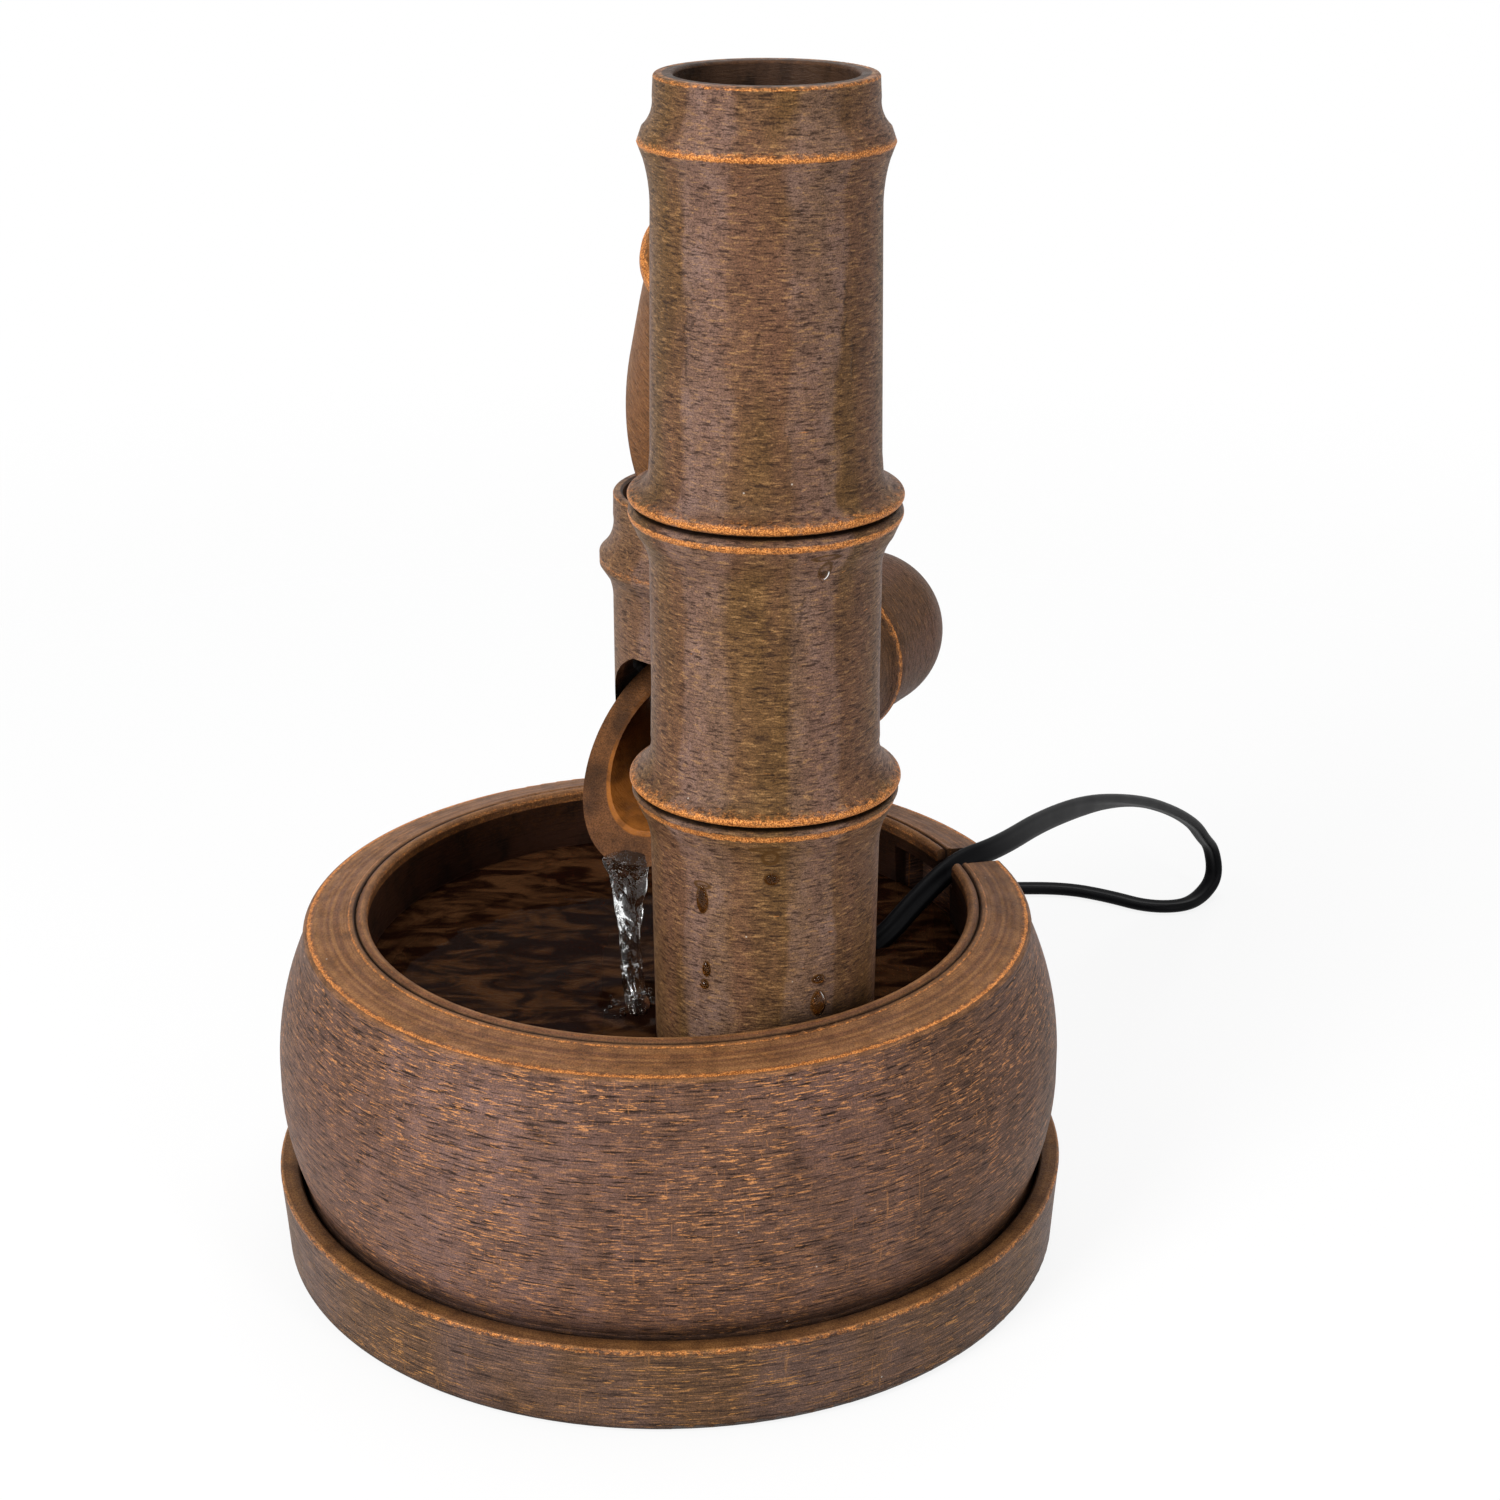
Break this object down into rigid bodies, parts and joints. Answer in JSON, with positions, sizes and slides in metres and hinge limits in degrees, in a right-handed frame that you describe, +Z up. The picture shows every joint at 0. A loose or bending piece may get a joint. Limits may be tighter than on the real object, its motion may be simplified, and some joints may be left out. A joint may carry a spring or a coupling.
{
  "type": "shishi odoshi fountain",
  "caption": "Tabletop bamboo fountain: a column feeds a slanting spout, a slotted stem and a tipping bamboo tube over a round basin in a tray.",
  "frame": {"origin": "centre of the base pad's underside, on the surface that the fountain stands on", "axes": "+Z up; -Y towards the viewer of the picture, with the column at the front; +X to the viewer's right, where the lead leaves"},
  "size_m": [0.2626, 0.2848, 0.2795],
  "materials": {
    "bronze_resin": "antiqued bronze-brown cast resin with rubbed orange edges",
    "pad_foam": "matt black sheet",
    "pump_plastic": "matt black",
    "rotor_plastic": "pale moulded plastic",
    "shaft_ceramic": "ground white ceramic",
    "pin_steel": "plain stainless",
    "bush_plastic": "natural nylon",
    "cup_rubber": "soft black rubber",
    "hose_vinyl": "cloudy clear vinyl",
    "lead_vinyl": "satin black vinyl",
    "blade_brass": "plated brass"
  },
  "bodies": {
    "fountain": {"base_pad": "pad_foam", "tray": "bronze_resin", "basin": "bronze_resin", "column_lower": "bronze_resin", "pump_body": "pump_plastic", "pump_cups": "cup_rubber", "pump_shaft": "shaft_ceramic", "hose": "hose_vinyl", "lead_boot": "lead_vinyl", "lead": "lead_vinyl", "lead_coil": "lead_vinyl", "plug_body": "lead_vinyl", "plug_blades": "blade_brass"},
    "middle": {"column_middle": "bronze_resin", "stem_rung": "bronze_resin", "rear_stem": "bronze_resin", "pivot_pin": "pin_steel"},
    "upper": {"column_upper": "bronze_resin", "spout": "bronze_resin"},
    "tipper": {"tipper": "bronze_resin", "pivot_bushes": "bush_plastic"},
    "pump_cover": {"pump_cover": "pump_plastic"},
    "pump_dial": {"pump_dial": "pump_plastic"},
    "pump_impeller": {"pump_impeller": "rotor_plastic"}
  },
  "joints": [
    {"name": "column_middle_lift", "type": "slide", "parent": "fountain", "child": "middle", "axis": [0, 0, 1], "range_m": [0, 0.03]},
    {"name": "column_upper_lift", "type": "slide", "parent": "middle", "child": "upper", "axis": [0, 0, 1], "range_m": [0, 0.04]},
    {"name": "tipper_pivot", "type": "hinge", "parent": "middle", "child": "tipper", "pos_m": [0.0114, 0.0364, 0.1147], "axis": [-0.866, 0.5, 0], "range_deg": [0, 12.3]},
    {"name": "pump_cover_slide", "type": "slide", "parent": "fountain", "child": "pump_cover", "axis": [1, 0, 0], "range_m": [0, 0.012]},
    {"name": "pump_dial_turn", "type": "hinge", "parent": "pump_cover", "child": "pump_dial", "pos_m": [0.0285, 0.017, 0.0462], "axis": [1, 0, 0], "range_deg": [-45, 45]},
    {"name": "pump_impeller_spin", "type": "hinge", "parent": "fountain", "child": "pump_impeller", "pos_m": [0, 0.017, 0.0382], "axis": [1, 0, 0], "continuous": true}
  ]
}
